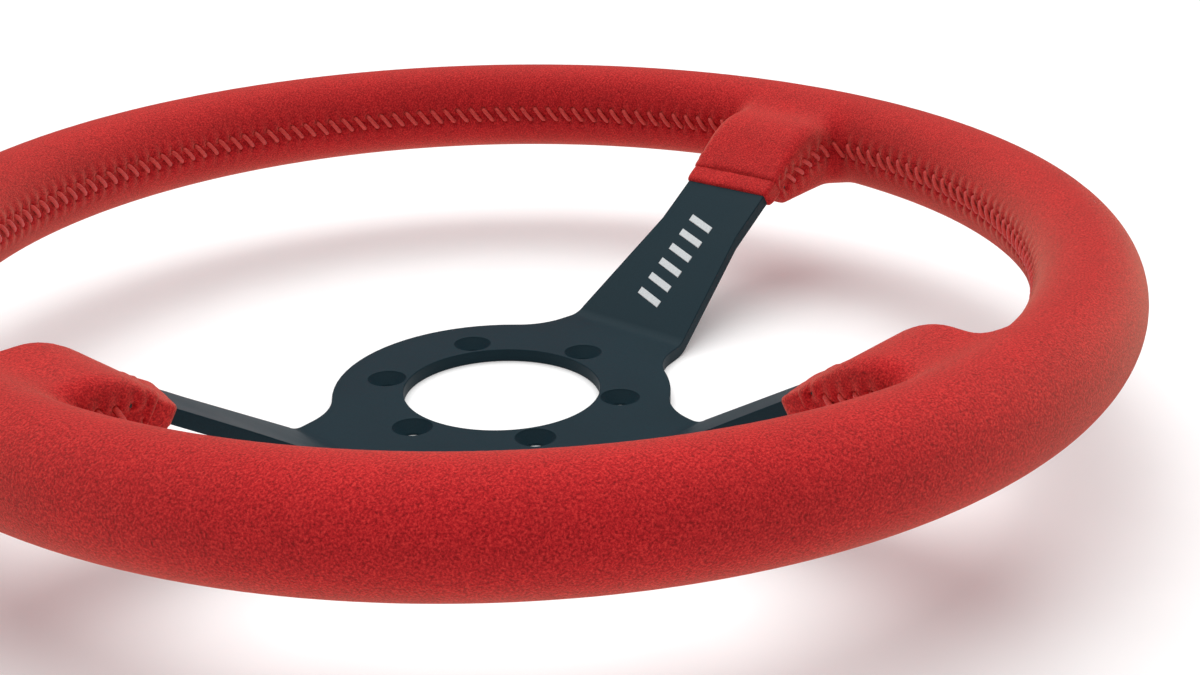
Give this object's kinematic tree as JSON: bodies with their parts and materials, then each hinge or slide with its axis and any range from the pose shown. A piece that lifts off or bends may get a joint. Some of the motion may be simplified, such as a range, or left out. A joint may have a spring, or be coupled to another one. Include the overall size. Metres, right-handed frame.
{
  "type": "steering wheel",
  "caption": "Dished three-spoke motorsport steering wheel: a suede-covered ring grip on a bent aluminium spoke plate with an open centre and a circle of countersunk hub bolt holes.",
  "frame": {"origin": "centre of the hub, on its flat rear mounting face", "axes": "+Z along the steering axis towards the driver, +Y to the top of the wheel, +X to the right of the wheel, on the side of the spoke that carries the enamel bars; the two side spokes stand 2 degrees above X"},
  "size_m": [0.35, 0.35, 0.0611],
  "materials": {
    "anodised_plate": "bead-blasted, black anodised",
    "enamel": "satin pale silver",
    "hoop_steel": "mill, oiled",
    "rivet_steel": "zinc plated",
    "grip_foam": "matte moulded foam",
    "red_suede": "fine brushed microfibre suede",
    "red_thread": "waxed cord"
  },
  "bodies": {
    "root": {"spoke_plate": "anodised_plate", "emblem_inlay": "enamel", "rim_hoop": "hoop_steel", "hoop_bracket_right": "hoop_steel", "hoop_bracket_left": "hoop_steel", "hoop_bracket_bottom": "hoop_steel", "spoke_rivets": "rivet_steel", "foam_grip": "grip_foam", "rim_cover": "red_suede", "boot_cuff_right": "red_suede", "boot_cuff_left": "red_suede", "boot_cuff_bottom": "red_suede", "lacing_upper": "red_thread", "lacing_lower_left": "red_thread", "lacing_lower_right": "red_thread"}
  },
  "joints": []
}
